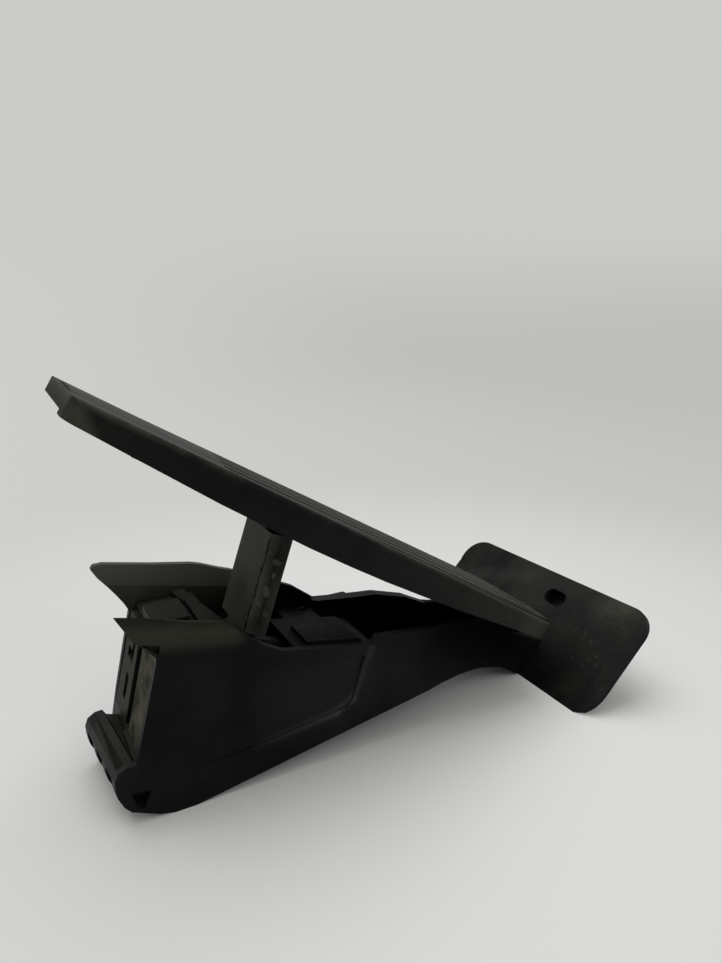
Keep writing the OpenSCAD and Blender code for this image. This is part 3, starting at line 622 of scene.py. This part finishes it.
def fadeNearPanel(mesh):
    # depth(x) grows evenly from 0 where the panel is flush to its full depth
    f = nearPanel
    points = meshPoints(mesh)
    x, y, z = (points / mm - leftFoot).T
    sunk = np.abs(y - f["face"] - f["depth"]) < f["tolerance"]
    sunk &= (z > f["low"]) & (z < f["high"]) & (x < f["right"])
    depth = f["depth"] * np.clip((x - f["flush"]) / (f["full"] - f["flush"]), 0.0, 1.0)
    points[sunk, 1] = (f["face"] + depth[sunk] + leftFoot[1]) * mm
    mesh.vertices.foreach_set("co", points.ravel())
    editMesh(mesh, lambda work: bmesh.ops.remove_doubles(work, verts=work.verts, dist=f["weld"] * mm))
    print("panel corners moved:", int(sunk.sum()))


for node, width in edgeWidths.items():
    mesh = mergedCopy(node)
    if node == "bracket":
        leanFarFlange(mesh)
        fadeNearPanel(mesh)
    addPiece(node + "_moulding", softEdges(mesh, width), finishes[slotOf[node]], node, bodyOf[node],
             standsForNode=True)
print("moulded pieces:", len(edgeWidths))

# Moulding flash and blisters on the strut's near face, in the strut's own directions
strutFoot = np.array([45.0, 0.0, 48.0])
strutHead = np.array([63.5, 0.0, 99.5])
strutFlash = {"left": -4.75, "near": -14.05, "low": 9.5, "high": 48.5, "thick": 0.34, "uneven": 0.6,
              "wander": 0.22, "sway": 0.11, "taper": 0.04, "thinnest": 0.05, "rings": 150, "sides": 8,
              "waves": ((0.5, 31, 0.4), (0.3, 67, 2.0), (0.2, 119, 1.1)),
              "drifts": ((0.6, 17, 1.3), (0.4, 53, 0.0))}
strutBlisters = [
    {"across": 0.8, "up": 38.5, "radius": 2.0, "height": 0.95, "turn": 0.6},
    {"across": -0.4, "up": 26.0, "radius": 2.2, "height": 1.0, "turn": 2.3},
    {"across": 0.9, "up": 33.0, "radius": 1.2, "height": 0.35, "turn": 2.4},
    {"across": -2.4, "up": 21.0, "radius": 1.5, "height": 0.4, "turn": 1.7},
    {"across": 2.2, "up": 17.0, "radius": 1.3, "height": 0.35, "turn": 1.2},
    {"across": -2.9, "up": 42.0, "radius": 1.0, "height": 0.3, "turn": 0.9},
]
blisterForm = {"face": -14.0, "sink": 0.06, "lobes": 2, "lobeDepth": 0.22, "power": 1.2, "dimple": 0.75,
               "dimpleRadius": 0.42, "firstRing": 0.02, "rings": 10, "sides": 28}


def onStrut(x, y, z):
    # From the strut's own directions, x square to it and z along it, to metres in the frame
    up = (strutHead - strutFoot) / np.linalg.norm(strutHead - strutFoot)
    side = np.array([up[2], 0.0, -up[0]])
    across = np.array([0.0, 1.0, 0.0])
    points = x[..., None] * side + y[..., None] * across + z[..., None] * up
    return (leftFoot + strutFoot + points) * mm


def roundAngles(count):
    return np.linspace(0.0, fullTurn, count, endpoint=False)


def sines(t, terms):
    # The sum of size x sin(rate x t + shift)
    return sum(size * np.sin(rate * t + shift) for size, rate, shift in terms)


def addStrutDetail(name, x, y, z, material):
    addPiece(name, meshFromGrid(name, onStrut(x, y, z), tube=True), material, "strut", bodyOf["strut"])


def addStrutFlash():
    # A thin uneven bead along the left edge of the near face: its radius and centre wander with sines
    f = strutFlash
    t = np.linspace(0.0, 1.0, f["rings"])[:, None]
    angle = roundAngles(f["sides"])[None, :]
    wave = sines(t, f["waves"])
    taper = np.clip(np.minimum(t, 1 - t) / f["taper"], f["thinnest"], 1.0)
    radius = f["thick"] * (1 + f["uneven"] * wave) * taper
    x = f["left"] + f["wander"] * sines(t, f["drifts"]) + radius * np.cos(angle)
    y = f["near"] + f["sway"] * wave + radius * np.sin(angle)
    z = f["low"] + (f["high"] - f["low"]) * t + 0.0 * angle
    addStrutDetail("strut_flash", x, y, z, finishes["flash_plastic"])


def addStrutBlister(name, across, up, radius, height, turn):
    # A low dome, height x ((1 - r^2)^power - dimple x exp(-(r / dimpleRadius)^2)), round a lobed rim
    f = blisterForm
    r = np.linspace(f["firstRing"], 1.0, f["rings"])[:, None]
    angle = roundAngles(f["sides"])[None, :]
    rim = radius * (1 + f["lobeDepth"] * np.cos(f["lobes"] * angle + turn))
    rise = height * ((1 - r ** 2) ** f["power"] - f["dimple"] * np.exp(-(r / f["dimpleRadius"]) ** 2))
    x = across + rim * r * np.cos(angle)
    y = f["face"] + f["sink"] - rise + 0.0 * angle
    z = up + rim * r * np.sin(angle)
    addStrutDetail(name, x, y, z, finishes["blister_plastic"])


addStrutFlash()
for number, values in enumerate(strutBlisters):
    addStrutBlister("strut_blister_%d" % (number + 1), **values)
print("strut details:", 1 + len(strutBlisters))

# Return springs: tubes along a helix with closed, ground ends
springs = {
    "outer_spring": {"wire": 1.5, "turns": 6.0, "hand": 1},
    "inner_spring": {"wire": 1.1, "turns": 7.5, "hand": -1},
}
springForm = {"closedTurns": 1.0, "groundOff": 0.2, "stepsPerTurn": 36, "sides": 12}


def addSpring(node, wire, turns, hand):
    # z climbs by one wire over each closed end and evenly between them; the ends are ground flat
    f = springForm
    low, high = (np.array(corner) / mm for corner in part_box(node))
    middle = (low + high) / 2
    coil = (high[0] - low[0] - wire) / 2
    count = np.linspace(0.0, turns, int(turns * f["stepsPerTurn"]) + 1)
    inset = (0.5 - f["groundOff"]) * wire
    first, last = low[2] + inset, high[2] - inset
    rise = np.interp(count, [0, f["closedTurns"], turns - f["closedTurns"], turns],
                     [first, first + wire, last - wire, last])
    turn = hand * fullTurn * count
    outward = np.stack([np.cos(turn), np.sin(turn), np.zeros_like(turn)], -1)
    upward = np.array([0.0, 0.0, 1.0])
    centreLine = np.array([middle[0], middle[1], 0.0]) + coil * outward + rise[:, None] * upward
    angle = roundAngles(f["sides"])[None, :, None]
    section = np.cos(angle) * outward[:, None, :] + np.sin(angle) * upward
    points = centreLine[:, None, :] + wire / 2 * section
    points[..., 2] = np.clip(points[..., 2], low[2], high[2])
    mesh = meshFromGrid(node + "_coil", points * mm, tube=True)
    piece = addPiece(node + "_coil", mesh, finishes["spring_steel"], node, standsForNode=True)
    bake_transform(piece)


for node, values in springs.items():
    addSpring(node, **values)
print("springs:", len(springs))

# Floor and backdrop, in metres; low down the far tone runs from a little lighter on the left to darker
# on the right, as painted light falloff on the glowing backdrop
stageSizes = {"back": 1.1, "front": -1.6, "radius": 0.5, "height": 2.2, "half": 2.5, "arcPoints": 17}
stageTones = {"paper": (0.725, 0.727, 0.735), "rough": 0.9, "gloss": 0.2, "far": (0.60, 0.605, 0.585),
              "lowRight": 0.86, "lowLeft": 1.03, "leftEdge": -0.2, "rightEdge": 0.9, "climb": 0.4,
              "fadeStart": 0.06, "fadeEnd": 0.42}


def paper():
    # White paper that the lamps light near the part; further off the camera sees a pale glow,
    # with painted light falloff low down
    tones = stageTones
    material, tree, shader = newMaterial("paper")
    feed(tree, shader.inputs["Base Color"], tones["paper"])
    feed(tree, shader.inputs["Roughness"], tones["rough"])
    feed(tree, shader.inputs["Specular IOR Level"], tones["gloss"])
    place = objectPlace(tree)
    parts = addNode(tree, "SeparateXYZ", Vector=place).outputs
    low = mapRange(tree, parts["X"], From_Min=tones["leftEdge"], From_Max=tones["rightEdge"],
                   To_Min=tones["lowLeft"], To_Max=tones["lowRight"], interpolation_type="SMOOTHSTEP")
    level = mapRange(tree, parts["Z"], From_Max=tones["climb"], To_Min=low, To_Max=1.0,
                     interpolation_type="SMOOTHSTEP")
    even = addNode(tree, "Emission", Color=tones["far"], Strength=level).outputs[0]
    away = reckonVector(tree, "LENGTH", place, output="Value")
    fade = mapRange(tree, away, From_Min=tones["fadeStart"], From_Max=tones["fadeEnd"],
                    interpolation_type="SMOOTHSTEP")
    rays = addNode(tree, "LightPath").outputs
    seen = reckon(tree, "MAXIMUM", rays["Is Camera Ray"], rays["Is Glossy Ray"])
    mix = addNode(tree, "MixShader", Fac=reckon(tree, "MULTIPLY", fade, seen))
    feed(tree, mix.inputs[1], shader.outputs[0])
    feed(tree, mix.inputs[2], even)
    feed(tree, tree.nodes["Material Output"].inputs["Surface"], mix.outputs[0])
    return material


def addStage():
    # A sweep: flat floor, a quarter round and a wall, as one profile carried along X
    s = stageSizes
    arc = np.linspace(0, math.pi / 2, s["arcPoints"])
    y = np.concatenate([[s["front"]], s["back"] + s["radius"] * np.sin(arc), [s["back"] + s["radius"]]])
    z = np.concatenate([[0], s["radius"] * (1 - np.cos(arc)), [s["height"]]])
    x = np.array([[-s["half"]], [s["half"]]])
    floor = bpy.data.objects.new("floor", meshFromGrid("floor", np.stack(np.broadcast_arrays(x, y, z), -1)))
    scene.collection.objects.link(floor)
    floor.data.materials.append(paper())


# Light: a room that is bright above and dim on the camera's side, and two soft lamps
roomLight = {"above": 1.0, "front": 0.06, "strength": 0.62, "tint": (1.0, 1.01, 0.93)}
roomRanges = {"depth": {"From_Min": -0.75, "From_Max": 0.5}, "height": {"From_Min": 0.1, "From_Max": 0.9}}
lamps = {
    "ceiling": {"place": (-0.1, 0.5, 1.9), "aim": (0.0, 0.0, 0.0), "size": (2.0, 1.6), "power": 22.0},
    "front": {"place": (0.5, -1.2, 0.9), "aim": (0.05, 0.0, 0.0), "size": (0.9, 0.9), "power": 4.0},
}


def addRoom():
    # A ramp over the direction's depth, which gives way to the full tone as the direction climbs
    world = bpy.data.worlds.new("room")
    scene.world = world
    world.use_nodes = True
    tree = world.node_tree
    direction = addNode(tree, "TexCoord").outputs["Generated"]
    parts = addNode(tree, "SeparateXYZ", Vector=direction).outputs
    depth = mapRange(tree, parts["Y"], To_Min=roomLight["front"], To_Max=roomLight["above"],
                     **roomRanges["depth"])
    height = mapRange(tree, parts["Z"], **roomRanges["height"])
    tone = mixNumber(tree, height, depth, roomLight["above"])
    background = tree.nodes["Background"]
    feed(tree, background.inputs["Color"], reckonVector(tree, "SCALE", roomLight["tint"], tone))
    feed(tree, background.inputs["Strength"], roomLight["strength"])


def addLamp(name, place, aim, size, power):
    data = bpy.data.lights.new(name, "AREA")
    data.shape = "RECTANGLE"
    data.size, data.size_y = size
    data.energy = power
    lamp = bpy.data.objects.new(name, data)
    lamp.location = place
    direction = np.array(aim) - np.array(place)
    yaw = math.atan2(direction[1], direction[0]) - math.pi / 2
    pitch = math.atan2(math.hypot(direction[0], direction[1]), -direction[2])
    lamp.rotation_euler = (pitch, 0.0, yaw)
    scene.collection.objects.link(lamp)


addStage()
addRoom()
for name, values in lamps.items():
    addLamp(name, **values)
print("stage and light set")
